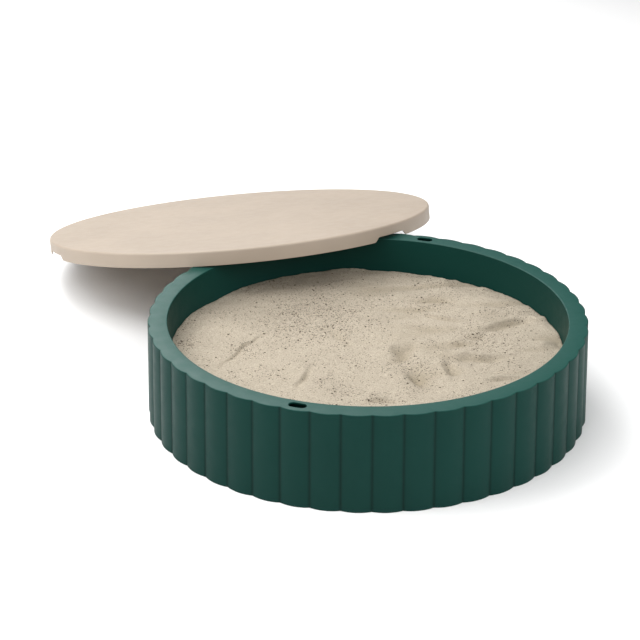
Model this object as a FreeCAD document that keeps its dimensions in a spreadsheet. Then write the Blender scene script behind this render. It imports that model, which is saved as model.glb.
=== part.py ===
import FreeCAD, Part
import math
import os

import Sketcher

# Round sandbox with a fluted wall, its sand, and a loose round cover.
# Millimetres.  +Z is up and the origin is the centre of the box's base, on the floor.
# The cover leans on the box: its low edge stands on the floor towards +Y, and its
# skirt lies on the rim.  The box is turned about Z so that its two rim slots are
# off the Y axis, as "box_turn" says.

DIMENSIONS = (
    ("flutes", 48, "flutes round the outer wall"),
    ("box_height", 201, "floor to the top of the rim"),
    ("valley_radius", 442.5, "outer wall at the rim, in the valleys between flutes"),
    ("crest_radius", 447.2, "outer wall at the rim, on the crests of the flutes"),
    ("base_flare", 5.2, "how much wider the outer wall is at its foot, on the radius"),
    ("wall_thickness", 3.5, "walls, rim and floor of the box"),
    ("inner_radius", 407.3, "inside of the box at the rim"),
    ("inner_draft", 3, "how much smaller the inside is at the floor, on the radius"),
    ("rim_joint_radius", 425, "where the round part of the rim meets the fluted part"),
    ("rim_outer_round", 2, "rounding of the rim's outer edge"),
    ("rim_inner_round", 2, "rounding of the rim's inner edge"),
    ("floor_corner_round", 12, "rounding between the floor and the inner wall"),
    ("rim_slots", 2, "slots through the rim, evenly round it"),
    ("slot_length", 35.5, "rim slot, end to end, along the rim"),
    ("slot_width", 18.5, "rim slot, across the rim"),
    ("slot_radius", 426, "centre of each rim slot from the box's axis"),
    ("box_turn", -38.9, "degrees that the box is turned about Z"),
    ("sand_edge_height", 126, "top of the sand at the wall"),
    ("sand_crown", 6, "how much higher the sand is in the middle"),
    ("sand_gap", 0.5, "between the sand and the inner wall"),
    ("cover_radius", 454.5, "outside of the cover's skirt"),
    ("cover_depth", 33, "top of the cover to the foot of its skirt"),
    ("cover_thickness", 2.5, "top and skirt of the cover"),
    ("cover_edge_round", 5, "rounding of the cover's top edge"),
    ("notches", 3, "hand notches in the skirt"),
    ("notch_mouth", 118, "width of a notch at the foot of the skirt"),
    ("notch_roof", 84, "width of a notch at its top"),
    ("notch_depth", 10.5, "height of a notch"),
    ("notch_corner_round", 7, "rounding of a notch's corners"),
    ("notch_bearing", 31.7, "degrees from the cover's high edge to the first notch"),
    ("cover_x", -37, "middle of the cover's top, as it leans"),
    ("cover_y", 747.2, "middle of the cover's top, as it leans"),
    ("cover_lean", 13.77, "degrees that the cover slopes down towards +Y"),
)

doc = FreeCAD.newDocument("sandbox_with_cover")
sheet = doc.addObject("Spreadsheet::Sheet", "dims")
for row, (alias, value, meaning) in enumerate(DIMENSIONS, start=1):
    sheet.set(f"A{row}", alias)
    sheet.set(f"B{row}", str(value))
    sheet.setAlias(f"B{row}", alias)
    sheet.set(f"C{row}", meaning)
doc.recompute()

ORIGIN = (-1, 1)
VERTICAL_AXIS = -2
HALF_FLUTE = "180 deg / dims.flutes"


def size(alias):
    """The plain number in the sheet's cell of that name."""
    return float(sheet.get(alias))


def new_body(label):
    """An empty body, whose label is the node's name."""
    body = doc.addObject("PartDesign::Body", label)
    body.Label = label
    return body


def origin_feature(body, role):
    """One of the body's own origin planes or axes."""
    return next(f for f in body.Origin.OriginFeatures if f.Role == role)


def new_sketch(body, name, plane):
    """An empty sketch on one of the body's origin planes."""
    sketch = body.newObject("Sketcher::SketchObject", name)
    sketch.AttachmentSupport = (origin_feature(body, plane), [""])
    sketch.MapMode = "FlatFace"
    return sketch


def bind(sketch, kind, where, name, start, expression):
    """A named dimension of a sketch, bound to an expression on the sheet's cells."""
    index = sketch.addConstraint(Sketcher.Constraint(kind, *where, start))
    sketch.renameConstraint(index, name)
    sketch.setExpression(f"Constraints.{name}", expression)


def outline(sketch, corners):
    """A closed outline of straight lines.

    Each corner is (name, x, x expression, y, y expression); no expression means zero.
    """
    count = len(corners)
    points = [FreeCAD.Vector(x, y, 0) for _, x, _, y, _ in corners]
    for i in range(count):
        sketch.addGeometry(Part.LineSegment(points[i], points[(i + 1) % count]), False)
    for i in range(count):
        sketch.addConstraint(Sketcher.Constraint("Coincident", i, 2, (i + 1) % count, 1))
    for i, (name, x, x_rule, y, y_rule) in enumerate(corners):
        if x_rule:
            bind(sketch, "DistanceX", (*ORIGIN, i, 1), name + "_x", x, x_rule)
        else:
            sketch.addConstraint(Sketcher.Constraint("PointOnObject", i, 1, VERTICAL_AXIS))
        if y_rule:
            bind(sketch, "DistanceY", (*ORIGIN, i, 1), name + "_y", y, y_rule)
        else:
            sketch.addConstraint(Sketcher.Constraint("PointOnObject", i, 1, -1))


def revolve(body, name, sketch):
    """A full turn of the sketch about the body's Z axis."""
    turned = body.newObject("PartDesign::Revolution", name)
    turned.Profile = sketch
    turned.ReferenceAxis = (origin_feature(body, "Z_Axis"), [""])
    turned.Angle = 360
    body.Tip = turned
    doc.recompute()
    return turned


def polar_pattern(body, name, count_cell, originals=None):
    """Copies of some features, or of the whole body so far, round the Z axis."""
    pattern = body.newObject("PartDesign::PolarPattern", name)
    pattern.Axis = (origin_feature(body, "Z_Axis"), [""])
    pattern.Angle = 360
    if originals:
        pattern.Originals = originals
    else:
        pattern.TransformMode = "Whole shape"
    pattern.setExpression("Occurrences", "dims." + count_cell)
    body.Tip = pattern
    doc.recompute()
    return pattern


def round_edges(body, name, radius_cell, wanted):
    """A fillet on every edge of the body's tip for which wanted(edge) is true."""
    doc.recompute()
    base = body.Tip
    edges = [
        f"Edge{i}" for i, e in enumerate(base.Shape.Edges, start=1)
        if not e.Degenerated and wanted(e)
    ]
    if not edges:
        raise RuntimeError(f"{name} found no edge to round")
    fillet = body.newObject("PartDesign::Fillet", name)
    fillet.Base = (base, edges)
    fillet.setExpression("Radius", "dims." + radius_cell)
    body.Tip = fillet
    return fillet


def is_ring(edge, radius, height):
    """Whether an edge is a level circle, or an arc of one, about the Z axis."""
    if not isinstance(edge.Curve, Part.Circle):
        return False
    centre = edge.Curve.Center
    level = all(abs(v.Z - height) < 0.01 for v in edge.Vertexes)
    return level and math.hypot(centre.x, centre.y) < 0.01 and abs(edge.Curve.Radius - radius) < 0.01


# ---------------------------------------------------------------- box

def flute_arc(valley, crest):
    """Numbers of one flute's outer arc: half its width, its end's depth and its radius."""
    half = math.pi / size("flutes")
    across = valley * math.sin(half)
    along = valley * math.cos(half)
    rise = crest - along
    return across, along, (across ** 2 + rise ** 2) / (2 * rise)


def flute_sketch(body, name, height_rule, flare, ring_inside):
    """One flute's slice of the outer wall in plan, towards -Y.

    Its outer side is the flute's arc and its ends are radial, so that neighbours meet
    face to face.  Its inner side runs parallel to the arc, or is an arc of the ring
    where the round part of the rim ends.
    """
    valley_rule = f"(dims.valley_radius + {flare})"
    crest_rule = f"(dims.crest_radius + {flare})"
    across_rule = f"{valley_rule} * sin({HALF_FLUTE})"
    along_rule = f"{valley_rule} * cos({HALF_FLUTE})"
    rise_rule = f"({crest_rule} - {along_rule})"
    arc_rule = f"(({across_rule}) ^ 2 + {rise_rule} ^ 2) / (2 * {rise_rule})"

    extra = size("base_flare") if flare != "0" else 0.0
    across, along, radius = flute_arc(size("valley_radius") + extra, size("crest_radius") + extra)
    middle = FreeCAD.Vector(0, radius - size("crest_radius") - extra, 0)
    up = FreeCAD.Vector(0, 0, 1)
    spread = math.asin(across / radius)
    left = FreeCAD.Vector(-across, -along, 0)
    right = FreeCAD.Vector(across, -along, 0)
    half = math.pi / size("flutes")
    if ring_inside:
        inner_centre = FreeCAD.Vector(0, 0, 0)
        inner_radius = size("rim_joint_radius")
        inner_spread = half
    else:
        inner_centre = middle
        inner_radius = radius - size("wall_thickness")
        reach = -middle.y * math.cos(half) + math.sqrt(
            inner_radius ** 2 - (middle.y * math.sin(half)) ** 2)
        inner_spread = math.asin(reach * math.sin(half) / inner_radius)
    down = -math.pi / 2
    inner = Part.ArcOfCircle(
        Part.Circle(inner_centre, up, inner_radius), down - inner_spread, down + inner_spread)

    sketch = new_sketch(body, name, "XY_Plane")
    sketch.setExpression("AttachmentOffset.Base.z", height_rule)
    sketch.addGeometry(
        Part.ArcOfCircle(Part.Circle(middle, up, radius), down - spread, down + spread), False)
    sketch.addGeometry(inner, False)
    sketch.addGeometry(Part.LineSegment(left, inner.StartPoint), False)
    sketch.addGeometry(Part.LineSegment(right, inner.EndPoint), False)
    outer_arc, inner_arc, left_end, right_end = range(4)
    for first, second in (
        ((outer_arc, 1), (left_end, 1)),
        ((inner_arc, 1), (left_end, 2)),
        ((outer_arc, 2), (right_end, 1)),
        ((inner_arc, 2), (right_end, 2)),
    ):
        sketch.addConstraint(Sketcher.Constraint("Coincident", *first, *second))
    sketch.addConstraint(
        Sketcher.Constraint("Symmetric", outer_arc, 1, outer_arc, 2, VERTICAL_AXIS))
    sketch.addConstraint(Sketcher.Constraint("PointOnObject", *ORIGIN, left_end))
    sketch.addConstraint(Sketcher.Constraint("PointOnObject", *ORIGIN, right_end))
    bind(sketch, "DistanceX", (*ORIGIN, outer_arc, 2), "across", across, across_rule)
    bind(sketch, "DistanceY", (*ORIGIN, outer_arc, 2), "along", -along, f"-{along_rule}")
    bind(sketch, "Radius", (outer_arc,), "flute", radius, arc_rule)
    if ring_inside:
        sketch.addConstraint(Sketcher.Constraint("Coincident", inner_arc, 3, *ORIGIN))
        bind(sketch, "Radius", (inner_arc,), "ring", inner_radius, "dims.rim_joint_radius")
    else:
        sketch.addConstraint(Sketcher.Constraint("Coincident", inner_arc, 3, outer_arc, 3))
        bind(sketch, "Radius", (inner_arc,), "inside", inner_radius,
             f"{arc_rule} - dims.wall_thickness")
    return sketch


def make_box():
    """The sandbox: a fluted outer wall turned down from the rim, an inner wall, a floor."""
    body = new_body("sandbox_box")
    rim_base = "dims.box_height - dims.wall_thickness"

    # one flute of the wall and of the rim, rounded, then repeated round the box
    foot = flute_sketch(body, "flute_foot", "0", "dims.base_flare", False)
    head = flute_sketch(body, "flute_head", rim_base, "0", False)
    wall = body.newObject("PartDesign::AdditiveLoft", "flute_wall")
    wall.Profile = foot
    wall.Sections = [head]
    wall.Ruled = True
    rim = body.newObject("PartDesign::Pad", "flute_rim")
    rim.Profile = flute_sketch(body, "rim_plan", rim_base, "0", True)
    rim.setExpression("Length", "dims.wall_thickness")
    body.Tip = rim

    top = size("box_height")
    flute_radius = flute_arc(size("valley_radius"), size("crest_radius"))[2]

    def rim_outer_edge(edge):
        curve = edge.Curve
        on_top = all(abs(v.Z - top) < 0.01 for v in edge.Vertexes)
        return on_top and isinstance(curve, Part.Circle) and abs(curve.Radius - flute_radius) < 0.01

    round_edges(body, "rim_outer_rounding", "rim_outer_round", rim_outer_edge)
    polar_pattern(body, "fluted_wall", "flutes")

    # floor, inner wall and the round part of the rim, turned in one
    thick, inner = size("wall_thickness"), size("inner_radius")
    low = inner - size("inner_draft")
    low_rule = "dims.inner_radius - dims.inner_draft"
    profile = new_sketch(body, "tub_profile", "XZ_Plane")
    outline(profile, (
        ("base_centre", 0, None, 0, None),
        ("base_edge", low + thick, low_rule + " + dims.wall_thickness", 0, None),
        ("under_rim", inner + thick, "dims.inner_radius + dims.wall_thickness", top - thick, rim_base),
        ("rim_under", size("rim_joint_radius"), "dims.rim_joint_radius", top - thick, rim_base),
        ("rim_over", size("rim_joint_radius"), "dims.rim_joint_radius", top, "dims.box_height"),
        ("rim_inner", inner, "dims.inner_radius", top, "dims.box_height"),
        ("floor_edge", low, low_rule, thick, "dims.wall_thickness"),
        ("floor_centre", 0, None, thick, "dims.wall_thickness"),
    ))
    revolve(body, "tub", profile)
    round_edges(body, "rim_inner_rounding", "rim_inner_round", lambda e: is_ring(e, inner, top))
    round_edges(body, "floor_corner", "floor_corner_round", lambda e: is_ring(e, low, thick))

    # two slots through the rim, opposite each other
    plan = new_sketch(body, "slot_plan", "XY_Plane")
    plan.setExpression("AttachmentOffset.Base.z", "dims.box_height")
    straight = (size("slot_length") - size("slot_width")) / 2
    end_radius = size("slot_width") / 2
    centre_y = -size("slot_radius")
    up = FreeCAD.Vector(0, 0, 1)
    for side in (1, -1):
        end = FreeCAD.Vector(side * straight, centre_y, 0)
        first = -side * math.pi / 2
        plan.addGeometry(
            Part.ArcOfCircle(Part.Circle(end, up, end_radius), first, first + math.pi), False)
    for side in (1, -1):
        y = centre_y + side * end_radius
        plan.addGeometry(Part.LineSegment(
            FreeCAD.Vector(side * straight, y, 0), FreeCAD.Vector(-side * straight, y, 0)), False)
    right_end, left_end, inner_side, outer_side = range(4)
    for first, second in (
        ((right_end, 2), (inner_side, 1)),
        ((inner_side, 2), (left_end, 1)),
        ((left_end, 2), (outer_side, 1)),
        ((outer_side, 2), (right_end, 1)),
    ):
        plan.addConstraint(Sketcher.Constraint("Tangent", *first, *second))
    plan.addConstraint(Sketcher.Constraint("Equal", right_end, left_end))
    bind(plan, "Radius", (right_end,), "end", end_radius, "dims.slot_width / 2")
    bind(plan, "DistanceX", (*ORIGIN, right_end, 3), "right_x", straight,
         "(dims.slot_length - dims.slot_width) / 2")
    bind(plan, "DistanceX", (*ORIGIN, left_end, 3), "left_x", -straight,
         "(dims.slot_width - dims.slot_length) / 2")
    bind(plan, "DistanceY", (*ORIGIN, right_end, 3), "slot_y", centre_y, "-dims.slot_radius")
    plan.addConstraint(Sketcher.Constraint("Horizontal", inner_side))
    slot = body.newObject("PartDesign::Pocket", "rim_slot")
    slot.Profile = plan
    slot.setExpression("Length", "2 * dims.wall_thickness")
    body.Tip = slot
    polar_pattern(body, "slots", "rim_slots", [slot])

    body.Placement.Rotation.Axis = FreeCAD.Vector(0, 0, 1)
    body.setExpression("Placement.Rotation.Angle", "dims.box_turn")
    return body


# ---------------------------------------------------------------- sand

def make_sand():
    """The sand that fills the lower part of the box, with a slightly raised middle."""
    body = new_body("sand")
    thick, gap = size("wall_thickness"), size("sand_gap")
    edge_height, crown = size("sand_edge_height"), size("sand_crown")
    low = size("inner_radius") - size("inner_draft") - gap
    slope = size("inner_draft") / (size("box_height") - thick)
    edge = low + slope * (edge_height - thick)
    low_rule = "dims.inner_radius - dims.inner_draft - dims.sand_gap"
    edge_rule = (low_rule + " + dims.inner_draft * (dims.sand_edge_height - dims.wall_thickness)"
                 " / (dims.box_height - dims.wall_thickness)")
    crown_radius = (edge ** 2 + crown ** 2) / (2 * crown)

    profile = new_sketch(body, "sand_profile", "XZ_Plane")
    top_centre = FreeCAD.Vector(0, edge_height + crown, 0)
    top_edge = FreeCAD.Vector(edge, edge_height, 0)
    bottom_edge = FreeCAD.Vector(low, thick, 0)
    bottom_centre = FreeCAD.Vector(0, thick, 0)
    middle = FreeCAD.Vector(0, edge_height + crown - crown_radius, 0)
    start = math.pi / 2 - math.asin(edge / crown_radius)
    profile.addGeometry(Part.LineSegment(bottom_centre, bottom_edge), False)
    profile.addGeometry(Part.LineSegment(bottom_edge, top_edge), False)
    profile.addGeometry(Part.ArcOfCircle(
        Part.Circle(middle, FreeCAD.Vector(0, 0, 1), crown_radius), start, math.pi / 2), False)
    profile.addGeometry(Part.LineSegment(top_centre, bottom_centre), False)
    base, side, surface, axis = range(4)
    for first, second in (
        ((base, 2), (side, 1)),
        ((side, 2), (surface, 1)),
        ((surface, 2), (axis, 1)),
        ((axis, 2), (base, 1)),
    ):
        profile.addConstraint(Sketcher.Constraint("Coincident", *first, *second))
    for geometry, point in ((base, 1), (surface, 2), (surface, 3)):
        profile.addConstraint(
            Sketcher.Constraint("PointOnObject", geometry, point, VERTICAL_AXIS))
    bind(profile, "DistanceY", (*ORIGIN, base, 1), "base_z", thick, "dims.wall_thickness")
    bind(profile, "DistanceX", (*ORIGIN, base, 2), "base_r", low, low_rule)
    bind(profile, "DistanceY", (*ORIGIN, side, 1), "corner_z", thick, "dims.wall_thickness")
    bind(profile, "DistanceX", (*ORIGIN, side, 2), "edge_r", edge, edge_rule)
    bind(profile, "DistanceY", (*ORIGIN, side, 2), "edge_z", edge_height, "dims.sand_edge_height")
    bind(profile, "DistanceY", (*ORIGIN, surface, 2), "crown_z", edge_height + crown,
         "dims.sand_edge_height + dims.sand_crown")
    revolve(body, "sand_fill", profile)
    round_edges(body, "sand_foot", "floor_corner_round", lambda e: is_ring(e, low, thick))
    return body


# ---------------------------------------------------------------- cover

def make_cover():
    """The loose cover: a flat disc with a shallow skirt and hand notches in its foot."""
    body = new_body("cover")
    outer, deep, thick = size("cover_radius"), size("cover_depth"), size("cover_thickness")
    inside_rule = "dims.cover_radius - dims.cover_thickness"
    profile = new_sketch(body, "cover_profile", "XZ_Plane")
    outline(profile, (
        ("top_centre", 0, None, 0, None),
        ("top_edge", outer, "dims.cover_radius", 0, None),
        ("skirt_foot", outer, "dims.cover_radius", -deep, "-dims.cover_depth"),
        ("skirt_inside", outer - thick, inside_rule, -deep, "-dims.cover_depth"),
        ("under_edge", outer - thick, inside_rule, -thick, "-dims.cover_thickness"),
        ("under_centre", 0, None, -thick, "-dims.cover_thickness"),
    ))
    revolve(body, "cover_shell", profile)
    round_edges(body, "top_edge_rounding", "cover_edge_round", lambda e: is_ring(e, outer, 0))

    # one hand notch, cut outwards through the skirt only, then repeated round it
    mouth, roof = size("notch_mouth") / 2, size("notch_roof") / 2
    roof_z = size("notch_depth") - deep
    below = deep + size("notch_depth")
    slant = (mouth - roof) / size("notch_depth")
    wide = mouth + slant * size("notch_depth")
    wide_rule = "dims.notch_mouth - dims.notch_roof / 2"
    roof_rule = "dims.notch_depth - dims.cover_depth"
    below_rule = "-dims.cover_depth - dims.notch_depth"
    notch_plan = new_sketch(body, "notch_outline", "XZ_Plane")
    notch_plan.AttachmentOffset.Rotation.Axis = FreeCAD.Vector(0, 1, 0)
    notch_plan.setExpression("AttachmentOffset.Rotation.Angle", "dims.notch_bearing")
    outline(notch_plan, (
        ("below_left", -wide, f"-({wide_rule})", -below, below_rule),
        ("below_right", wide, wide_rule, -below, below_rule),
        ("roof_right", roof, "dims.notch_roof / 2", roof_z, roof_rule),
        ("roof_left", -roof, "-dims.notch_roof / 2", roof_z, roof_rule),
    ))
    notch = body.newObject("PartDesign::Pocket", "notch")
    notch.Profile = notch_plan
    notch.setExpression("Length", "dims.cover_radius + dims.cover_thickness")
    notch.Reversed = True
    body.Tip = notch
    polar_pattern(body, "hand_notches", "notches", [notch])

    def notch_corner(edge):
        ends = [v.Point for v in edge.Vertexes]
        if len(ends) != 2 or edge.Length > 2 * thick:
            return False
        through = abs(math.hypot(ends[0].x, ends[0].y) - math.hypot(ends[1].x, ends[1].y))
        return abs(ends[0].z - ends[1].z) < 0.01 and through > 0.5 * thick

    round_edges(body, "notch_rounding", "notch_corner_round", notch_corner)

    # the foot of the skirt at the low edge stands on the floor
    body.setExpression("Placement.Base.x", "dims.cover_x")
    body.setExpression("Placement.Base.y", "dims.cover_y")
    body.setExpression("Placement.Base.z", "dims.cover_radius * sin(dims.cover_lean * 1 deg)"
                       " + dims.cover_depth * cos(dims.cover_lean * 1 deg)")
    body.Placement.Rotation.Axis = FreeCAD.Vector(1, 0, 0)
    body.setExpression("Placement.Rotation.Angle", "-dims.cover_lean")
    return body


# ---------------------------------------------------------------- build and write

NODES = (make_box(), make_sand(), make_cover())
doc.recompute()
for item in doc.Objects:
    if "Invalid" in item.State or "Error" in item.State:
        raise RuntimeError(f"{item.Label} failed: {item.State}")
for node in NODES:
    if node.Shape.isNull() or not node.Shape.isValid():
        raise RuntimeError(f"{node.Label} has no valid shape")

os.makedirs("parts", exist_ok=True)
for node in NODES:
    node.Shape.exportStep(f"parts/{node.Label}.step")
    box = node.Shape.BoundBox
    print(f"{node.Label}: {len(node.Shape.Solids)} solid, {node.Shape.Volume / 1e6:.3f} litres, "
          f"x {box.XMin:.1f}..{box.XMax:.1f}, y {box.YMin:.1f}..{box.YMax:.1f}, "
          f"z {box.ZMin:.1f}..{box.ZMax:.1f}")
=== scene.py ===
import math

import bmesh
import bpy
from bpy.props import FloatProperty, FloatVectorProperty, IntProperty, PointerProperty
from mathutils import Matrix, Vector, noise


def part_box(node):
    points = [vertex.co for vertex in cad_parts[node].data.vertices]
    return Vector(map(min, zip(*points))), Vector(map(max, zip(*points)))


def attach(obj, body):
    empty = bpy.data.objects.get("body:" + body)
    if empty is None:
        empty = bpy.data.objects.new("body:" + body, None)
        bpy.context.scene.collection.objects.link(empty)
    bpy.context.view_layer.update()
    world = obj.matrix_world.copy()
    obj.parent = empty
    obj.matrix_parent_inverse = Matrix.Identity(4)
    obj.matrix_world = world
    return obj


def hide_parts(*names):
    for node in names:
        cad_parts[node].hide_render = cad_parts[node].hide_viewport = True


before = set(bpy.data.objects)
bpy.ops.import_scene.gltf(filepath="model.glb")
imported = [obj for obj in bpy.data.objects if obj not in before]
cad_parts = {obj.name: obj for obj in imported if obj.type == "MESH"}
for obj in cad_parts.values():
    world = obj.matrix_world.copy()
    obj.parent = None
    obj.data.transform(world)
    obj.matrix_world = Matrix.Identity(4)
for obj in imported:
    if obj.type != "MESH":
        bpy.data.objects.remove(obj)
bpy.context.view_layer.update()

bl_info = {
    "name": "Sandbox with cover",
    "version": (1, 0, 0),
    "blender": (4, 5, 0),
    "location": "3D View > Sidebar > Sandbox",
    "description": "Builds a round fluted sandbox, its sand and its leaning cover on the packed frame",
    "category": "Add Mesh",
}

# The frame's axes: +Z up, the origin on the floor under the box's middle, and the
# cover's low edge towards +Y.  Everything is in metres.
RIM_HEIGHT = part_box("sandbox_box")[1].z
COVER_LOW, COVER_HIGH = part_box("cover")


# ---------------------------------------------------------------- settings

class BoxSettings(bpy.types.PropertyGroup):
    """Sizes and colour of the box."""
    flutes: IntProperty(name="Flutes", description="Flutes round the wall", default=48, min=8)
    flute_steps: IntProperty(name="Flute steps", description="Faces across one flute", default=12, min=4)
    valley_radius: FloatProperty(
        name="Valley radius", description="Outer wall at the rim, between two flutes",
        default=0.4425, unit="LENGTH")
    crest_radius: FloatProperty(
        name="Crest radius", description="Outer wall at the rim, on a flute's crest",
        default=0.4472, unit="LENGTH")
    foot_flare: FloatProperty(
        name="Foot flare", description="How much wider the wall is at its foot, on the radius",
        default=0.0052, unit="LENGTH")
    wall: FloatProperty(
        name="Wall", description="Thickness of walls, rim and floor", default=0.0035, unit="LENGTH")
    inner_radius: FloatProperty(
        name="Inner radius", description="Inside of the box at the rim", default=0.4073, unit="LENGTH")
    inner_draft: FloatProperty(
        name="Inner draft", description="How much smaller the inside is at the floor",
        default=0.003, unit="LENGTH")
    outer_round: FloatProperty(
        name="Outer rounding", description="Rounding of the rim's outer edge",
        default=0.002, unit="LENGTH")
    inner_round: FloatProperty(
        name="Inner rounding", description="Rounding of the rim's inner edge",
        default=0.002, unit="LENGTH")
    floor_round: FloatProperty(
        name="Floor rounding", description="Rounding between floor and wall",
        default=0.012, unit="LENGTH")
    slot_length: FloatProperty(
        name="Slot length", description="Rim slot, end to end", default=0.0355, unit="LENGTH")
    slot_width: FloatProperty(
        name="Slot width", description="Rim slot, across the rim", default=0.0185, unit="LENGTH")
    slot_radius: FloatProperty(
        name="Slot radius", description="Middle of a slot from the box's axis",
        default=0.426, unit="LENGTH")
    turn: FloatProperty(
        name="Turn", description="How far the box is turned about its axis",
        default=math.radians(-38.9), subtype="ANGLE")
    colour: FloatVectorProperty(
        name="Colour", description="Colour of the plastic", subtype="COLOR",
        default=(0.0035, 0.0355, 0.0285), min=0, max=1)
    roughness: FloatProperty(
        name="Roughness", description="How matt the plastic is", default=0.49, min=0, max=1)


class SandSettings(bpy.types.PropertyGroup):
    """Shape and colours of the sand."""
    cells: IntProperty(name="Cells", description="Cells across the surface", default=300, min=20)
    edge_height: FloatProperty(
        name="Edge height", description="Sand's height at the wall", default=0.126, unit="LENGTH")
    crown: FloatProperty(
        name="Crown", description="How much higher the middle is", default=0.004, unit="LENGTH")
    gap: FloatProperty(
        name="Gap", description="Between the sand and the wall", default=0.0005, unit="LENGTH")
    grains: IntProperty(name="Grains", description="Coarse grains lying on top", default=2600, min=0)
    grain_size: FloatProperty(
        name="Grain size", description="Radius of the largest coarse grain",
        default=0.0017, unit="LENGTH")
    colour: FloatVectorProperty(
        name="Colour", description="Colour of dry sand", subtype="COLOR",
        default=(0.385, 0.336, 0.264), min=0, max=1)
    dark_colour: FloatVectorProperty(
        name="Dark colour", description="Colour of the dark grains", subtype="COLOR",
        default=(0.060, 0.042, 0.028), min=0, max=1)


class CoverSettings(bpy.types.PropertyGroup):
    """Sizes, place and colour of the cover."""
    columns: IntProperty(name="Columns", description="Faces round the cover", default=1440, min=90)
    radius: FloatProperty(
        name="Radius", description="Outside of the skirt", default=0.4545, unit="LENGTH")
    depth: FloatProperty(
        name="Depth", description="Top to the foot of the skirt", default=0.033, unit="LENGTH")
    thickness: FloatProperty(
        name="Thickness", description="Of the top and the skirt", default=0.0025, unit="LENGTH")
    edge_round: FloatProperty(
        name="Edge rounding", description="Rounding of the top edge", default=0.005, unit="LENGTH")
    notches: IntProperty(name="Notches", description="Hand notches", default=3, min=0)
    notch_mouth: FloatProperty(
        name="Notch mouth", description="Width of a notch at its foot", default=0.118, unit="LENGTH")
    notch_roof: FloatProperty(
        name="Notch roof", description="Width of a notch at its top", default=0.084, unit="LENGTH")
    notch_depth: FloatProperty(
        name="Notch depth", description="Height of a notch", default=0.0105, unit="LENGTH")
    notch_bearing: FloatProperty(
        name="Notch bearing", description="From the high edge to the first notch",
        default=math.radians(31.7), subtype="ANGLE")
    lean: FloatProperty(
        name="Lean", description="Slope of the leaning cover", default=math.radians(13.77),
        subtype="ANGLE")
    colour: FloatVectorProperty(
        name="Colour", description="Colour of the plastic", subtype="COLOR",
        default=(0.352, 0.291, 0.232), min=0, max=1)
    roughness: FloatProperty(
        name="Roughness", description="How matt the plastic is", default=0.5, min=0, max=1)


class StageSettings(bpy.types.PropertyGroup):
    """Camera, lights and floor."""
    aim: FloatVectorProperty(
        name="Aim", description="Point that the camera looks at", subtype="TRANSLATION",
        default=(-0.0262, 0.2120, 0.1))
    azimuth: FloatProperty(
        name="Azimuth", description="Where the camera stands, from -Y towards +X",
        default=math.radians(-19.94), subtype="ANGLE")
    elevation: FloatProperty(
        name="Elevation", description="How steeply the camera looks down",
        default=math.radians(24.69), subtype="ANGLE")
    roll: FloatProperty(
        name="Roll", description="How far the camera is turned about its view",
        default=math.radians(-0.12), subtype="ANGLE")
    distance: FloatProperty(
        name="Distance", description="From the camera to its aim", default=3.8784, unit="LENGTH")
    lens: FloatProperty(
        name="Lens", description="Focal length in millimetres", default=101.08, unit="CAMERA")
    floor_colour: FloatVectorProperty(
        name="Floor colour", description="Colour of the floor", subtype="COLOR",
        default=(0.9, 0.9, 0.9), min=0, max=1)
    sky: FloatProperty(name="Sky", description="Strength of the light from all round", default=0.1)


# ---------------------------------------------------------------- node helpers

def add_node(tree, kind, links=None, **settings):
    """A new node, with its settings, and with inputs set to numbers or joined to sockets."""
    node = tree.nodes.new(kind)
    for name, value in settings.items():
        setattr(node, name, value)
    for key, value in (links or {}).items():
        if isinstance(value, bpy.types.NodeSocket):
            tree.links.new(value, node.inputs[key])
        else:
            node.inputs[key].default_value = value
    return node


def calc(tree, operation, first, second=None, third=None):
    """The result of one Math node."""
    values = {i: v for i, v in enumerate((first, second, third)) if v is not None}
    return add_node(tree, "ShaderNodeMath", values, operation=operation).outputs[0]


def new_group(name, inputs):
    """A geometry node group with a geometry input and output and the named inputs."""
    tree = bpy.data.node_groups.new(name, "GeometryNodeTree")
    tree.interface.new_socket("Geometry", in_out="INPUT", socket_type="NodeSocketGeometry")
    for label, kind in inputs:
        tree.interface.new_socket(label, in_out="INPUT", socket_type="NodeSocket" + kind)
    tree.interface.new_socket("Geometry", in_out="OUTPUT", socket_type="NodeSocketGeometry")
    return tree, tree.nodes.new("NodeGroupInput"), tree.nodes.new("NodeGroupOutput")


def set_inputs(modifier, values):
    """Sets a geometry nodes modifier's inputs by their names."""
    for item in modifier.node_group.interface.items_tree:
        if item.item_type == "SOCKET" and item.in_out == "INPUT" and item.name in values:
            modifier[item.identifier] = values[item.name]


def finish_group(tree, group_output, mesh, material):
    """Ends a tree with Realize Instances and Set Material."""
    real = add_node(tree, "GeometryNodeRealizeInstances", {"Geometry": mesh})
    done = add_node(tree, "GeometryNodeSetMaterial",
                    {"Geometry": real.outputs[0], "Material": material})
    tree.links.new(done.outputs[0], group_output.inputs[0])


def smooth_by_angle(tree, mesh, angle):
    """Smooth shading, but sharp where two faces meet at more than the angle."""
    smooth = add_node(tree, "GeometryNodeSetShadeSmooth", {"Geometry": mesh, "Shade Smooth": True})
    bend = add_node(tree, "GeometryNodeInputMeshEdgeAngle")
    flat = calc(tree, "LESS_THAN", bend.outputs["Unsigned Angle"], angle)
    return add_node(tree, "GeometryNodeSetShadeSmooth",
                    {"Geometry": smooth.outputs[0], "Shade Smooth": flat},
                    domain="EDGE").outputs[0]


# ---------------------------------------------------------------- mesh helpers

def new_object(name, mesh):
    """A new object in the scene, at the origin."""
    piece = bpy.data.objects.new(name, mesh)
    bpy.context.scene.collection.objects.link(piece)
    return piece


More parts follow.
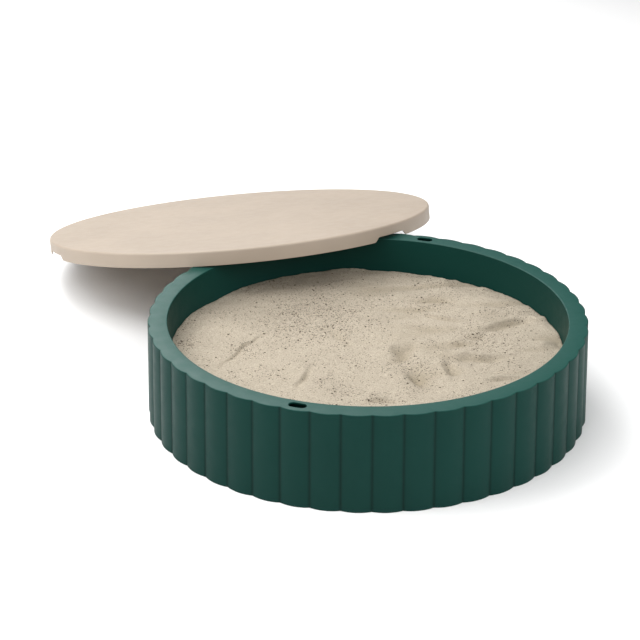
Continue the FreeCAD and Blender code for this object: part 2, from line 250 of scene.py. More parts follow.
def rounded_outline(corners, arc_steps=6):
    """Points of an outline whose corners are rounded.

    Each corner is (r, z, weight, rounding).  The weights run evenly between corners.
    """
    points = []
    last = len(corners) - 1
    for i, (r, z, weight, rounding) in enumerate(corners):
        here = Vector((r, z))
        if i in (0, last) or rounding <= 0:
            points.append((here, weight))
            continue
        before = Vector(corners[i - 1][:2]) - here
        after = Vector(corners[i + 1][:2]) - here
        opening = before.angle(after)
        reach = rounding / math.tan(opening / 2)
        start = here + before.normalized() * reach
        end = here + after.normalized() * reach
        middle = here + (before.normalized() + after.normalized()).normalized() * (
            rounding / math.sin(opening / 2))
        first, second = start - middle, end - middle
        sweep = first.angle_signed(second)
        for step in range(arc_steps + 1):
            turn = Matrix.Rotation(-sweep * step / arc_steps, 2)
            points.append((middle + turn @ first, weight))
    return points


def outline_mesh(name, points, weight_name):
    """An open chain of vertices in the XZ plane that carries the weights as an attribute."""
    mesh = bpy.data.meshes.new(name)
    mesh.from_pydata([(p.x, 0, p.y) for p, _ in points],
                     [(i, i + 1) for i in range(len(points) - 1)], [])
    weights = mesh.attributes.new(weight_name, "FLOAT", "POINT")
    weights.data.foreach_set("value", [w for _, w in points])
    return mesh


def spun_grid(tree, source, columns, weight_name):
    """Grid vertices for a spun outline.

    Gives the grid, each vertex's angle about Z from -Y, and the radius, height and
    weight of the outline's point that it comes from.
    """
    rows = add_node(tree, "GeometryNodeAttributeDomainSize", {"Geometry": source},
                    component="MESH").outputs["Point Count"]
    lines = calc(tree, "ADD", columns, 1.0)
    grid = add_node(tree, "GeometryNodeMeshGrid", {"Vertices X": lines, "Vertices Y": rows})
    index = add_node(tree, "GeometryNodeInputIndex").outputs[0]
    column = calc(tree, "FLOOR", calc(tree, "DIVIDE", calc(tree, "ADD", index, 0.5), rows))
    row = calc(tree, "SUBTRACT", index, calc(tree, "MULTIPLY", column, rows))
    angle = calc(tree, "MULTIPLY", calc(tree, "DIVIDE", column, columns), math.tau)
    place = add_node(tree, "GeometryNodeSampleIndex", {
        "Geometry": source,
        "Value": add_node(tree, "GeometryNodeInputPosition").outputs[0],
        "Index": row}, data_type="FLOAT_VECTOR").outputs[0]
    xyz = add_node(tree, "ShaderNodeSeparateXYZ", {0: place})
    named = add_node(tree, "GeometryNodeInputNamedAttribute", {"Name": weight_name},
                     data_type="FLOAT").outputs[0]
    weight = add_node(tree, "GeometryNodeSampleIndex",
                      {"Geometry": source, "Value": named, "Index": row},
                      data_type="FLOAT").outputs[0]
    return grid.outputs["Mesh"], angle, xyz.outputs["X"], xyz.outputs["Z"], weight


def place_spun(tree, grid, angle, radius, height):
    """The grid wrapped round Z at those radii and heights, with its seam and poles closed."""
    x = calc(tree, "MULTIPLY", radius, calc(tree, "SINE", angle))
    y = calc(tree, "MULTIPLY", radius, calc(tree, "MULTIPLY", calc(tree, "COSINE", angle), -1.0))
    spot = add_node(tree, "ShaderNodeCombineXYZ", {"X": x, "Y": y, "Z": height}).outputs[0]
    moved = add_node(tree, "GeometryNodeSetPosition", {"Geometry": grid, "Position": spot})
    return add_node(tree, "GeometryNodeMergeByDistance",
                    {"Geometry": moved.outputs[0], "Distance": 1e-5}).outputs[0]


def applied(piece):
    """The piece with its modifiers' result as a plain mesh, faces outwards."""
    bpy.context.view_layer.update()
    evaluated = piece.evaluated_get(bpy.context.evaluated_depsgraph_get())
    mesh = bpy.data.meshes.new_from_object(evaluated)
    piece.modifiers.clear()
    piece.data = mesh
    mesh.name = piece.name
    work = bmesh.new()
    work.from_mesh(mesh)
    bmesh.ops.dissolve_degenerate(work, dist=1e-7, edges=work.edges)
    bmesh.ops.recalc_face_normals(work, faces=work.faces)
    work.to_mesh(mesh)
    work.free()
    return piece


# ---------------------------------------------------------------- materials

def new_material(name):
    """A material with a bare Principled shader, and its tree."""
    material = bpy.data.materials.new(name)
    material.use_nodes = True
    tree = material.node_tree
    return material, tree, tree.nodes["Principled BSDF"]


def pattern(tree, scale, detail=2.0, rough=0.5):
    """Noise on the object's own coordinates; scale is in waves to the metre."""
    where = add_node(tree, "ShaderNodeTexCoord").outputs["Object"]
    return add_node(tree, "ShaderNodeTexNoise", {
        "Vector": where, "Scale": scale, "Detail": detail, "Roughness": rough}).outputs["Fac"]


def ranged(tree, value, low_in, high_in, low_out, high_out):
    """A value mapped from one range to another, and kept inside it."""
    return add_node(tree, "ShaderNodeMapRange", {
        "Value": value, "From Min": low_in, "From Max": high_in,
        "To Min": low_out, "To Max": high_out}).outputs[0]


def mixed(tree, share, first, second):
    """Two colours mixed by a share."""
    node = add_node(tree, "ShaderNodeMix", {"Factor": share}, data_type="RGBA")
    for socket, value in ((node.inputs[6], first), (node.inputs[7], second)):
        if isinstance(value, bpy.types.NodeSocket):
            tree.links.new(value, socket)
        else:
            socket.default_value = (*value, 1)
    return node.outputs[2]


def shade(colour, factor):
    """A colour made lighter or darker."""
    return tuple(min(1.0, c * factor) for c in colour)


def moulded_tone(tree, colour):
    """Moulded polyolefin's colour: faint flow marks and a fine speckle."""
    flow = pattern(tree, 7.0, 3.0)
    speckle = pattern(tree, 1400.0, 2.0)
    tone = mixed(tree, ranged(tree, flow, 0.35, 0.65, 0, 1), shade(colour, 0.965), shade(colour, 1.035))
    return mixed(tree, ranged(tree, speckle, 0.3, 0.7, 0, 0.10), tone, shade(colour, 1.35))


def moulded_surface(tree, shader, tone, roughness, grain_height):
    """Matt moulded finish: a fine eroded grain and slightly uneven gloss."""
    tree.links.new(tone, shader.inputs["Base Color"])
    gloss = pattern(tree, 45.0, 3.0)
    tree.links.new(ranged(tree, gloss, 0.3, 0.7, roughness - 0.03, roughness + 0.04),
                   shader.inputs["Roughness"])
    grain = pattern(tree, 900.0, 2.0)
    bump = add_node(tree, "ShaderNodeBump",
                    {"Strength": 0.5, "Distance": grain_height, "Height": grain})
    tree.links.new(bump.outputs[0], shader.inputs["Normal"])


def box_plastic(box):
    """The box's green, with painted shade darkening the valleys between the flutes and a painted sheen
    making the rim's top paler.
    """
    material, tree, shader = new_material("green_plastic")
    where = add_node(tree, "ShaderNodeTexCoord").outputs["Object"]
    xyz = add_node(tree, "ShaderNodeSeparateXYZ", {0: where}).outputs
    # Painted sheen: the rim's top gets a paler green, as if lit by a grazing reflection, and also a
    # higher specular level
    rim_sheen_mask = ranged(tree, xyz["Z"], RIM_HEIGHT - 0.0015, RIM_HEIGHT - 0.0005, 0, 1)

    # Painted shade: a dark band along each valley between two flutes, on the outer wall only, stands in
    # for the shade in those creases
    bearing = calc(tree, "ARCTAN2", xyz["X"], calc(tree, "MULTIPLY", xyz["Y"], -1.0))
    half_pitch = math.pi / box.flutes
    from_crest = calc(tree, "PINGPONG", calc(tree, "SUBTRACT", bearing, box.turn), half_pitch)
    valley_shade_share = ranged(tree, from_crest, half_pitch * 0.84, half_pitch, 0, 0.6)
    flat = add_node(tree, "ShaderNodeVectorMath", {0: where, 1: (1, 1, 0)},
                    operation="MULTIPLY").outputs[0]
    reach = add_node(tree, "ShaderNodeVectorMath", {0: flat}, operation="LENGTH").outputs["Value"]
    outside = calc(tree, "GREATER_THAN", reach, box.valley_radius - box.wall)
    valley_shade = calc(tree, "MULTIPLY", valley_shade_share, outside)

    # Painted shade in the flute valleys
    tone = mixed(tree, valley_shade, moulded_tone(tree, box.colour), shade(box.colour, 0.25))
    # Painted sheen: paler green on the rim's top
    tone = mixed(tree, rim_sheen_mask, tone, shade(box.colour, 1.6))
    moulded_surface(tree, shader, tone, box.roughness, 0.00025)
    tree.links.new(ranged(tree, rim_sheen_mask, 0, 1, 0.1, 0.27), shader.inputs["Specular IOR Level"])
    return material


def cover_plastic(cover):
    """The cover's beige, even all over."""
    material, tree, shader = new_material("beige_plastic")
    moulded_surface(tree, shader, moulded_tone(tree, cover.colour), cover.roughness, 0.0002)
    shader.inputs["Specular IOR Level"].default_value = 0.24
    return material


def dark_specks(tree, cell, chance, size):
    """Mask of round specks: one at most in each cell, in a share of the cells."""
    where = add_node(tree, "ShaderNodeTexCoord").outputs["Object"]
    cells = add_node(tree, "ShaderNodeTexVoronoi", {"Vector": where, "Scale": 1 / cell})
    near = calc(tree, "LESS_THAN", cells.outputs["Distance"], size / cell)
    pick = add_node(tree, "ShaderNodeSeparateColor", {0: cells.outputs["Color"]}).outputs[0]
    return calc(tree, "MULTIPLY", near, calc(tree, "LESS_THAN", pick, chance))


def near_drifts(tree):
    """How many dark grains the sand holds here: a thin scatter, and more in the drifts."""
    where = add_node(tree, "ShaderNodeTexCoord").outputs["Object"]
    flat = add_node(tree, "ShaderNodeVectorMath", {0: where, 1: (1, 1, 0)},
                    operation="MULTIPLY").outputs[0]
    share = ranged(tree, pattern(tree, 14.0, 3.0), 0.44, 0.7, 0.02, 0.22)
    for x, y, reach, most in SPECK_DRIFTS:
        far = add_node(tree, "ShaderNodeVectorMath", {0: flat, 1: (x, y, 0)},
                       operation="DISTANCE").outputs["Value"]
        share = calc(tree, "MAXIMUM", share, ranged(tree, far, reach * 0.3, reach, most, 0))
    return share


def sand_material(settings):
    """Dry play sand: pale quartz grains, dark mineral grains in drifts, dull all over, with painted
    shade in its hollows and furrows.
    """
    colour, dark = settings.colour, settings.dark_colour
    material, tree, shader = new_material("play_sand")
    grains = pattern(tree, 380.0, 4.0, 0.8)
    tone = mixed(tree, ranged(tree, grains, 0.33, 0.67, 0, 1), shade(colour, 0.60), shade(colour, 1.32))
    patches = pattern(tree, 11.0, 4.0)
    tone = mixed(tree, ranged(tree, patches, 0.45, 0.75, 0, 0.25), tone, shade(colour, 0.66))
    # Painted shade: a darker yellowish brown in the hollows and furrows, read from a mesh attribute
    hollow_shade = add_node(tree, "ShaderNodeAttribute", attribute_name="hollow_shade").outputs["Fac"]
    tone = mixed(tree, hollow_shade, tone, shade((colour[0], colour[1] * 0.95, colour[2] * 0.8), 0.58))
    drift = near_drifts(tree)
    small = dark_specks(tree, 0.0034, drift, 0.0013)
    large = dark_specks(tree, 0.0090, drift, 0.0022)
    tone = mixed(tree, calc(tree, "MULTIPLY", small, 0.85), tone, dark)
    tone = mixed(tree, large, tone, dark)
    tree.links.new(tone, shader.inputs["Base Color"])
    coarse = pattern(tree, 330.0, 4.0, 0.7)
    bump = add_node(tree, "ShaderNodeBump", {"Strength": 0.9, "Distance": 0.0013, "Height": coarse})
    tree.links.new(bump.outputs[0], shader.inputs["Normal"])
    shader.inputs["Roughness"].default_value = 0.95
    shader.inputs["Specular IOR Level"].default_value = 0.15
    return material


def grain_material(settings):
    """Coarse mineral grains, each a little different, from dark brown to pale."""
    material, tree, shader = new_material("coarse_grains")
    tint = pattern(tree, 160.0, 1.0)
    tone = mixed(tree, ranged(tree, tint, 0.50, 0.72, 0, 1), settings.dark_colour,
                 shade(settings.colour, 0.8))
    tree.links.new(tone, shader.inputs["Base Color"])
    tree.links.new(ranged(tree, pattern(tree, 900.0), 0.3, 0.7, 0.55, 0.8),
                   shader.inputs["Roughness"])
    return material


def floor_material(settings):
    """A plain pale floor, with the faintest unevenness."""
    material, tree, shader = new_material("studio_floor")
    colour = settings.floor_colour
    tone = mixed(tree, ranged(tree, pattern(tree, 0.8), 0.3, 0.7, 0, 1), shade(colour, 0.995), colour)
    tree.links.new(tone, shader.inputs["Base Color"])
    shader.inputs["Roughness"].default_value = 0.9
    shader.inputs["Specular IOR Level"].default_value = 0.1
    return material


# ---------------------------------------------------------------- box

def flute_group(material):
    """Spins an outline round Z and bulges it into flutes where its weight is 1."""
    tree, given, result = new_group("Fluted spin", (
        ("Flutes", "Int"), ("Steps", "Int"), ("Valley Radius", "Float"),
        ("Arc Centre", "Float"), ("Arc Radius", "Float")))
    source = given.outputs["Geometry"]
    columns = calc(tree, "MULTIPLY", given.outputs["Flutes"], given.outputs["Steps"])
    grid, angle, radius, height, weight = spun_grid(tree, source, columns, "flute")
    pitch = calc(tree, "DIVIDE", math.tau, given.outputs["Flutes"])
    half = calc(tree, "MULTIPLY", pitch, 0.5)
    across = calc(tree, "SUBTRACT",
                  calc(tree, "FLOORED_MODULO", calc(tree, "ADD", angle, half), pitch), half)
    centre, arc = given.outputs["Arc Centre"], given.outputs["Arc Radius"]
    side = calc(tree, "MULTIPLY", centre, calc(tree, "SINE", across))
    reach = calc(tree, "SQRT", calc(tree, "SUBTRACT", calc(tree, "MULTIPLY", arc, arc),
                                    calc(tree, "MULTIPLY", side, side)))
    wave = calc(tree, "ADD", calc(tree, "MULTIPLY", centre, calc(tree, "COSINE", across)), reach)
    rise = calc(tree, "SUBTRACT", wave, given.outputs["Valley Radius"])
    radius = calc(tree, "ADD", radius, calc(tree, "MULTIPLY", rise, weight))
    body = place_spun(tree, grid, angle, radius, height)
    finish_group(tree, result, smooth_by_angle(tree, body, math.radians(28)), material)
    return tree


def box_outline(box):
    """The box's half section, from the middle of its underside to the middle of its floor."""
    low = box.inner_radius - box.inner_draft
    foot = box.valley_radius + box.foot_flare
    edge = 0.0008
    return rounded_outline((
        (0, 0, 0, 0),
        (low + box.wall, 0, 0, 3 * edge),
        (box.inner_radius + box.wall, RIM_HEIGHT - box.wall, 0, 2 * edge),
        (box.valley_radius - box.wall, RIM_HEIGHT - box.wall, 1, 2 * edge),
        (foot - box.wall, 0, 1, edge),
        (foot, 0, 1, edge),
        (box.valley_radius, RIM_HEIGHT - box.wall, 1, 0),
        (box.valley_radius, RIM_HEIGHT, 1, box.outer_round),
        (box.inner_radius, RIM_HEIGHT, 0, box.inner_round),
        (low, box.wall, 0, box.floor_round),
        (0, box.wall, 0, 0),
    ))


def slot_cutter(box, side):
    """What is cut out of the rim for one slot: an obround that widens into rounded edges."""
    straight = (box.slot_length - box.slot_width) / 2
    half = box.slot_width / 2
    lip = 0.0005
    levels = [(0.0, RIM_HEIGHT - 3 * box.wall)]
    for step in range(5):
        turn = math.radians(90 * step / 4)
        levels.append((lip * (1 - math.cos(turn)), RIM_HEIGHT - lip * (1 - math.sin(turn))))
    levels.append((lip, RIM_HEIGHT + box.wall))
    arc = 16
    work = bmesh.new()
    loops = []
    for grow, z in levels:
        loop = []
        for end in (1, -1):
            for step in range(arc + 1):
                turn = math.pi * step / arc - math.pi / 2
                x = end * (straight + (half + grow) * math.cos(turn))
                y = -side * box.slot_radius + end * (half + grow) * math.sin(turn)
                loop.append(work.verts.new((x, y, z)))
        loops.append(loop)
    count = len(loops[0])
    for lower, upper in zip(loops, loops[1:]):
        for i in range(count):
            j = (i + 1) % count
            work.faces.new((lower[i], lower[j], upper[j], upper[i]))
    work.faces.new(list(reversed(loops[0])))
    work.faces.new(loops[-1])
    bmesh.ops.recalc_face_normals(work, faces=work.faces)
    mesh = bpy.data.meshes.new("slot_cutter")
    work.to_mesh(mesh)
    work.free()
    return new_object("slot_cutter", mesh)


class SANDBOX_OT_box(bpy.types.Operator):
    """Builds the fluted box with its rim slots"""
    bl_idname = "sandbox.box"
    bl_label = "Box"

    def execute(self, context):
        box = context.scene.sandbox_box
        half = math.pi / box.flutes
        across = box.valley_radius * math.sin(half)
        rise = box.crest_radius - box.valley_radius * math.cos(half)
        arc_radius = (across ** 2 + rise ** 2) / (2 * rise)
        material = box_plastic(box)

        piece = new_object("fluted_box", outline_mesh("fluted_box", box_outline(box), "flute"))
        spin = piece.modifiers.new("spin", "NODES")
        spin.node_group = flute_group(material)
        set_inputs(spin, {
            "Flutes": box.flutes, "Steps": box.flute_steps, "Valley Radius": box.valley_radius,
            "Arc Centre": box.crest_radius - arc_radius, "Arc Radius": arc_radius})
        applied(piece)
        for side in (1, -1):
            cutter = slot_cutter(box, side)
            cutter.data.materials.append(material)
            cut = piece.modifiers.new("slot", "BOOLEAN")
            cut.object = cutter
            cut.operation = "DIFFERENCE"
            cut.solver = "EXACT"
            applied(piece)
            bpy.data.objects.remove(cutter)
        piece.data.transform(Matrix.Rotation(box.turn, 4, "Z"))
        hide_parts("sandbox_box")
        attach(piece, "box")
        return {"FINISHED"}


# ---------------------------------------------------------------- sand

# Radius of the sand's surface, for its crown and for its number of grains
SAND_REACH = 0.408
# Swells of the sand's surface: (height, waves to the metre in x and in y, seed)
SAND_SWELLS = (
    (0.0075, 5.5, 5.5, 3.1),
    (0.0030, 13.0, 15.0, 7.7),
    (0.0018, 34.0, 48.0, 1.9),
    (0.0009, 95.0, 120.0, 5.3),
)
# Marks left by hands and shovels: (x, y, half length, half width, bearing in degrees, height).
# A hollow has a low bank along its side.
SAND_MARKS = (
    (-0.243, 0.076, 0.085, 0.005, 39, -0.0045),
    (0.057, -0.057, 0.040, 0.017, 44, -0.0120),
    (0.042, -0.176, 0.040, 0.020, 79, -0.0128),
    (0.120, -0.161, 0.034, 0.013, 80, -0.0090),
    (0.193, -0.133, 0.050, 0.010, -17, -0.0083),
    (0.303, -0.004, 0.048, 0.011, 2, -0.0083),
    (0.226, -0.036, 0.022, 0.007, -2, -0.0060),
    (0.179, -0.057, 0.018, 0.006, -30, -0.0060),
    (0.214, 0.164, 0.038, 0.008, -20, -0.0067),
    (0.197, 0.076, 0.040, 0.007, -36, -0.0060),
    (0.192, -0.240, 0.028, 0.010, 0, -0.0067),
    (-0.070, -0.242, 0.030, 0.007, -25, -0.0060),
    (-0.038, 0.059, 0.042, 0.010, -81, -0.0045),
    (-0.168, -0.091, 0.040, 0.006, 54, -0.0053),
    (0.279, 0.268, 0.020, 0.014, -40, 0.0065),
    (0.340, 0.186, 0.018, 0.016, -60, 0.0065),
    (0.393, 0.007, 0.016, 0.020, 90, 0.0078),
    (0.378, -0.128, 0.020, 0.020, 70, -0.0075),
)
# Drifts of dark grains: (x, y, reach, share)
SPECK_DRIFTS = (
    (-0.060, 0.160, 0.190, 0.50),
    (-0.345, 0.144, 0.040, 0.60),
    (-0.115, -0.174, 0.050, 0.50),
    (-0.072, -0.230, 0.045, 0.50),
    (-0.247, 0.072, 0.060, 0.30),
    (0.200, 0.150, 0.080, 0.35),
    (0.230, -0.055, 0.080, 0.45),
    (0.050, -0.110, 0.070, 0.45),
)


def sand_height(x, y, sand):
    """Height of the sand at a point, and how much painted shade it gets in its hollows and furrows.

    The height is a low crown with ripples, hollows and marks by hand.
    """
    reach = math.hypot(x, y) / SAND_REACH
    height = sand.edge_height + sand.crown * (1 - reach * reach)
    for swell, waves_x, waves_y, seed in SAND_SWELLS:
        height += swell * noise.noise((x * waves_x, y * waves_y, seed))
    # Furrows that run roughly along X, only on the side towards +X
    ripple = noise.noise((x * 7.0 - y * 3.0, x * 8.0 + y * 27.0, 4.4))
    right = min(1.0, max(0.0, (x + 0.02) / 0.15))
    # Painted shade: the furrows get a darker colour as well as a lower surface
    hollow_shade = 0.55 * right * max(0.0, ripple - 0.05)
    height -= 0.004 * right * max(0.0, ripple)
    # The marks' outlines wander by up to a centimetre
    wander_x = 0.012 * noise.noise((x * 24.0, y * 24.0, 8.8))
    wander_y = 0.012 * noise.noise((x * 24.0, y * 24.0, 12.3))
    for mx, my, length, width, bearing, lift in SAND_MARKS:
        turn = math.radians(bearing)
        dx, dy = x + wander_x - mx, y + wander_y - my
        along = (dx * math.cos(turn) + dy * math.sin(turn)) / length
        aside = (dy * math.cos(turn) - dx * math.sin(turn)) / width
        if along * along + aside * aside < 16:
            bank = 0.55 * math.exp(-(aside - 1.8) ** 2)
            height += lift * math.exp(-along * along) * (math.exp(-aside * aside) - bank)
            # Painted shade: a darker colour in each hollow, deeper hollows darker
            hollow_shade += max(0.0, -lift) * 36 * math.exp(-along * along - aside * aside)
    return height, min(hollow_shade, 0.6)


def disc_point(u, v, radius):
    """A point of the square -1..1 moved to the disc, so that cells keep their size."""
    if u == 0 and v == 0:
        return 0.0, 0.0
    if abs(u) > abs(v):
        reach, turn = u, (math.pi / 4) * (v / u)
        return radius * reach * math.cos(turn), radius * reach * math.sin(turn)
    reach, turn = v, (math.pi / 4) * (u / v)
    return radius * reach * math.sin(turn), radius * reach * math.cos(turn)


class SANDBOX_OT_sand(bpy.types.Operator):
    """Builds the sand with its rippled surface"""
    bl_idname = "sandbox.sand"
    bl_label = "Sand"

    def execute(self, context):
        box, sand = context.scene.sandbox_box, context.scene.sandbox_sand
        low = box.inner_radius - box.inner_draft - sand.gap
        slope = box.inner_draft / (RIM_HEIGHT - box.wall)
        count = sand.cells + 1
        work = bmesh.new()
        # Each vertex carries how much painted shade its hollow or furrow gets
        hollow_shade_layer = work.verts.layers.float.new("hollow_shade")
        grid = []
        for i in range(count):
            column = []
            for j in range(count):
                u, v = 2 * i / sand.cells - 1, 2 * j / sand.cells - 1
                x, y = disc_point(u, v, low)
                z, hollow_shade = sand_height(x, y, sand)
                swell = 1 + slope * (z - box.wall) / low
                vert = work.verts.new((x * swell, y * swell, z))
                vert[hollow_shade_layer] = hollow_shade
                column.append(vert)
            grid.append(column)
        for i in range(sand.cells):
            for j in range(sand.cells):
                work.faces.new((grid[i][j], grid[i + 1][j], grid[i + 1][j + 1], grid[i][j + 1]))
        last = sand.cells
        border = [grid[i][0] for i in range(last)] + [grid[last][j] for j in range(last)]
        border += [grid[i][last] for i in range(last, 0, -1)]
        border += [grid[0][j] for j in range(last, 0, -1)]
        foot_round = box.floor_round
        bottom = box.wall + 0.0002
        rings = [border]
        for step in range(7):
            turn = math.radians(90 * step / 6)
            inset = foot_round * (1 - math.cos(turn))
            z = bottom + foot_round * (1 - math.sin(turn))
            ring = []
            for vert in border:
                flat = Vector((vert.co.x, vert.co.y, 0)).normalized() * (low - inset)
                ring.append(work.verts.new((flat.x, flat.y, z)))
            rings.append(ring)
        for upper, lower in zip(rings, rings[1:]):
            for k in range(len(border)):
                n = (k + 1) % len(border)
                work.faces.new((upper[n], upper[k], lower[k], lower[n]))
        work.faces.new(rings[-1])
        bmesh.ops.recalc_face_normals(work, faces=work.faces)
        for face in work.faces:
            face.smooth = True
        mesh = bpy.data.meshes.new("sand_surface")
        work.to_mesh(mesh)
        work.free()
        piece = new_object("sand_surface", mesh)
        mesh.materials.append(sand_material(sand))
        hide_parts("sand")
        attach(piece, "box")
        return {"FINISHED"}


def grain_group(material):
    """Scatters small angular grains on upward faces, thicker in drifts."""
    tree, given, result = new_group("Coarse grains", (("Count", "Int"), ("Size", "Float")))
    source = given.outputs["Geometry"]
    normal = add_node(tree, "ShaderNodeSeparateXYZ",
                      {0: add_node(tree, "GeometryNodeInputNormal").outputs[0]}).outputs["Z"]
    upward = calc(tree, "GREATER_THAN", normal, 0.6)
    drift = add_node(tree, "ShaderNodeTexNoise", {"Scale": 14.0, "Detail": 3.0}).outputs["Fac"]
    share = calc(tree, "MULTIPLY", upward, ranged(tree, drift, 0.44, 0.66, 0.12, 1.0))
    area = math.pi * SAND_REACH ** 2
    density = calc(tree, "MULTIPLY", share,
                   calc(tree, "DIVIDE", given.outputs["Count"], area * 0.45))
    spots = add_node(tree, "GeometryNodeDistributePointsOnFaces",
                     {"Mesh": source, "Density": density, "Seed": 5})
    grain = add_node(tree, "GeometryNodeMeshIcoSphere", {"Radius": 1.0, "Subdivisions": 1})
    spread = add_node(tree, "FunctionNodeRandomValue", {
        "Min": (0.25, 0.25, 0.2), "Max": (1.0, 0.9, 0.6), "Seed": 7}, data_type="FLOAT_VECTOR")
    scale = add_node(tree, "ShaderNodeVectorMath",
                     {0: spread.outputs[0], "Scale": given.outputs["Size"]}, operation="SCALE")
    turn = add_node(tree, "FunctionNodeRandomValue", {
        "Min": (0, 0, 0), "Max": (math.tau, math.tau, math.tau), "Seed": 11},
        data_type="FLOAT_VECTOR")
    lying = add_node(tree, "GeometryNodeInstanceOnPoints", {
        "Points": spots.outputs["Points"], "Instance": grain.outputs["Mesh"],
        "Rotation": turn.outputs[0], "Scale": scale.outputs[0]})
    finish_group(tree, result, lying.outputs[0], material)
    return tree


class SANDBOX_OT_grains(bpy.types.Operator):
    """Scatters coarse grains over the sand"""
    bl_idname = "sandbox.grains"
    bl_label = "Coarse grains"

    def execute(self, context):
        sand = context.scene.sandbox_sand
        surface = bpy.data.objects["sand_surface"]
        piece = new_object("sand_grains", surface.data.copy())
        scatter = piece.modifiers.new("scatter", "NODES")
        scatter.node_group = grain_group(grain_material(sand))
        set_inputs(scatter, {"Count": sand.grains, "Size": sand.grain_size})
        bpy.context.view_layer.update()
        evaluated = piece.evaluated_get(bpy.context.evaluated_depsgraph_get())
        mesh = bpy.data.meshes.new_from_object(evaluated)
        piece.modifiers.clear()
        piece.data = mesh
        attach(piece, "box")
        return {"FINISHED"}


# ---------------------------------------------------------------- cover

def notch_group(material):
    """Spins an outline round Z and lifts its foot into notches where its weight is 1."""
    tree, given, result = new_group("Notched spin", (
        ("Columns", "Int"), ("Notches", "Int"), ("Bearing", "Float"),
        ("Half Mouth", "Float"), ("Half Roof", "Float"), ("Depth", "Float")))
    source = given.outputs["Geometry"]
    grid, angle, radius, height, weight = spun_grid(tree, source, given.outputs["Columns"], "lift")
    period = calc(tree, "DIVIDE", math.tau, given.outputs["Notches"])
    half = calc(tree, "MULTIPLY", period, 0.5)
    shifted = calc(tree, "ADD", calc(tree, "SUBTRACT", angle, given.outputs["Bearing"]), half)
    away = calc(tree, "ABSOLUTE",
                calc(tree, "SUBTRACT", calc(tree, "FLOORED_MODULO", shifted, period), half))
    notch = add_node(tree, "ShaderNodeMapRange", {
        "Value": away, "From Min": given.outputs["Half Mouth"],
        "From Max": given.outputs["Half Roof"], "To Min": 0.0,
        "To Max": given.outputs["Depth"]}, interpolation_type="SMOOTHSTEP").outputs[0]
    height = calc(tree, "ADD", height, calc(tree, "MULTIPLY", notch, weight))
    body = place_spun(tree, grid, angle, radius, height)
    finish_group(tree, result, smooth_by_angle(tree, body, math.radians(40)), material)
    return tree


def cover_outline(cover):
    """The cover's half section, from the middle of its top to the middle of its underside."""
    outer, inner = cover.radius, cover.radius - cover.thickness
    foot_round = 0.0009
    rings = [0.25, 0.5, 0.75, 0.9]
    top = [(0, 0, 0, 0)] + [(outer * share, 0, 0, 0) for share in rings]
    edge = [(outer, 0, 0, cover.edge_round)]
    wall = [(outer, -cover.depth * 0.45, 0, 0), (outer, -cover.depth, 1, foot_round),
            (inner, -cover.depth, 1, foot_round), (inner, -cover.depth * 0.45, 0, 0)]
    under = [(inner, -cover.thickness, 0, cover.edge_round - cover.thickness)]
    under += [(outer * share, -cover.thickness, 0, 0) for share in reversed(rings)]
    under += [(0, -cover.thickness, 0, 0)]
    return rounded_outline(top + edge + wall + under)


class SANDBOX_OT_cover(bpy.types.Operator):
    """Builds the cover where it leans"""
    bl_idname = "sandbox.cover"
    bl_label = "Cover"

    def execute(self, context):
        cover = context.scene.sandbox_cover
        material = cover_plastic(cover)
        piece = new_object("notched_cover",
                           outline_mesh("notched_cover", cover_outline(cover), "lift"))
        spin = piece.modifiers.new("spin", "NODES")
        spin.node_group = notch_group(material)
        set_inputs(spin, {
            "Columns": cover.columns, "Notches": cover.notches, "Bearing": cover.notch_bearing,
            "Half Mouth": cover.notch_mouth / 2 / cover.radius,
            "Half Roof": cover.notch_roof / 2 / cover.radius, "Depth": cover.notch_depth})
        applied(piece)
        lean = Matrix.Rotation(-cover.lean, 4, "X")
        middle = (COVER_LOW + COVER_HIGH) / 2
        middle.z = COVER_LOW.z + cover.radius * math.sin(cover.lean) + cover.depth * math.cos(cover.lean)
        low_edge = cover.radius * math.cos(cover.lean)
        middle.y = COVER_HIGH.y - low_edge
        piece.data.transform(Matrix.Translation(middle) @ lean)
        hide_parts("cover")
        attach(piece, "cover")
        return {"FINISHED"}


# ---------------------------------------------------------------- stage

def aimed(spot, target):
    """A place that looks from the spot at the target, with +Z up."""
    spot, target = Vector(spot), Vector(target)
    turn = (target - spot).to_track_quat("-Z", "Y")
    return Matrix.Translation(spot) @ turn.to_matrix().to_4x4()


# The lights: name, bearing from -Y towards +X, elevation, side and power in watts.
SOFTBOXES = (
    ("key_back_left", -177, 38, 2.0, 90),
    ("back_left_high", -140, 62, 2.0, 28),
    ("left", -132, 38, 2.0, 17),
    ("left_low", -110, 14, 2.0, 18),
    ("left_front", -95, 38, 2.0, 58),
    ("left_high", -80, 62, 2.0, 56),
    ("front_left", -42, 38, 2.0, 8),
    ("front_high", -20, 62, 2.0, 40),
    ("front_right", 3, 38, 2.0, 38),
    ("right_low", 46, 20, 2.0, 56),
    ("back_low", 160, 14, 2.0, 4),
    ("back_high", 160, 62, 2.0, 29),
    ("top", -20, 89, 2.4, 12),
)
LIGHT_AIM = Vector((0, 0.25, 0.1))
LIGHT_DISTANCE = 4.0


def away(azimuth, elevation, distance):
    """The offset at a bearing from -Y towards +X, an elevation and a distance."""
    flat = distance * math.cos(elevation)
    return Vector((flat * math.sin(azimuth), -flat * math.cos(azimuth),
                   distance * math.sin(elevation)))


def softbox(name, azimuth, elevation, size, power):
    """A square area light that faces the object."""
    light = bpy.data.lights.new(name, "AREA")
    light.shape = "SQUARE"
    light.size = size
    light.energy = power
    spot = LIGHT_AIM + away(math.radians(azimuth), math.radians(elevation), LIGHT_DISTANCE)
    lamp = new_object(name, light)
    lamp.matrix_world = aimed(spot, LIGHT_AIM)
    return lamp


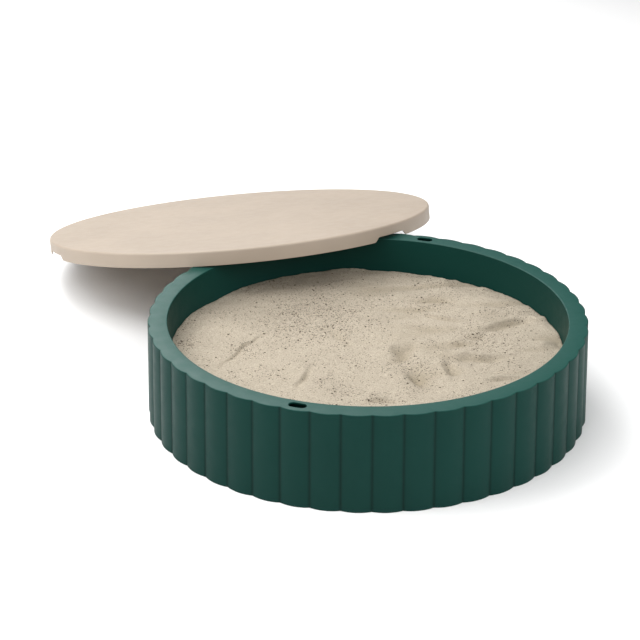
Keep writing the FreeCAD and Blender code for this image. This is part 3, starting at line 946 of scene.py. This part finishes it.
class SANDBOX_OT_stage(bpy.types.Operator):
    """Sets the floor, the soft studio light and the camera"""
    bl_idname = "sandbox.stage"
    bl_label = "Stage"

    def execute(self, context):
        scene = context.scene
        stage = scene.sandbox_stage
        aim = Vector(stage.aim)

        work = bmesh.new()
        bmesh.ops.create_grid(work, x_segments=1, y_segments=1, size=30)
        mesh = bpy.data.meshes.new("studio_floor")
        work.to_mesh(mesh)
        work.free()
        mesh.materials.append(floor_material(stage))
        new_object("studio_floor", mesh)

        world = bpy.data.worlds.new("studio")
        world.use_nodes = True
        sky = world.node_tree.nodes["Background"]
        sky.inputs["Color"].default_value = (1, 1, 1, 1)
        sky.inputs["Strength"].default_value = stage.sky
        scene.world = world
        scene.view_settings.view_transform = "Standard"

        for name, azimuth, elevation, size, power in SOFTBOXES:
            softbox(name, azimuth, elevation, size, power)

        camera = bpy.data.cameras.new("camera")
        camera.lens = stage.lens
        camera.sensor_width = 36
        camera.dof.use_dof = False
        view = new_object("camera", camera)
        spot = aim + away(stage.azimuth, stage.elevation, stage.distance)
        view.matrix_world = aimed(spot, aim) @ Matrix.Rotation(stage.roll, 4, "Z")
        scene.camera = view
        return {"FINISHED"}


# ---------------------------------------------------------------- panel and registering

OPERATORS = (
    SANDBOX_OT_box, SANDBOX_OT_sand, SANDBOX_OT_grains, SANDBOX_OT_cover, SANDBOX_OT_stage)
SETTINGS = (
    ("sandbox_box", BoxSettings), ("sandbox_sand", SandSettings),
    ("sandbox_cover", CoverSettings), ("sandbox_stage", StageSettings))


class SANDBOX_PT_parts(bpy.types.Panel):
    """The sandbox's pieces, in the order in which they are made"""
    bl_idname = "SANDBOX_PT_parts"
    bl_label = "Sandbox with cover"
    bl_space_type = "VIEW_3D"
    bl_region_type = "UI"
    bl_category = "Sandbox"

    def draw(self, context):
        for operator in OPERATORS:
            self.layout.operator(operator.bl_idname)


def register():
    for _, group in SETTINGS:
        bpy.utils.register_class(group)
    for name, group in SETTINGS:
        setattr(bpy.types.Scene, name, PointerProperty(type=group))
    for operator in OPERATORS:
        bpy.utils.register_class(operator)
    bpy.utils.register_class(SANDBOX_PT_parts)


def unregister():
    bpy.utils.unregister_class(SANDBOX_PT_parts)
    for operator in reversed(OPERATORS):
        bpy.utils.unregister_class(operator)
    for name, group in reversed(SETTINGS):
        delattr(bpy.types.Scene, name)
        bpy.utils.unregister_class(group)


def main():
    """Registers the add-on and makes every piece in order."""
    register()
    bpy.ops.sandbox.stage()
    bpy.ops.sandbox.box()
    bpy.ops.sandbox.sand()
    bpy.ops.sandbox.grains()
    bpy.ops.sandbox.cover()


if __name__ == "__main__":
    main()
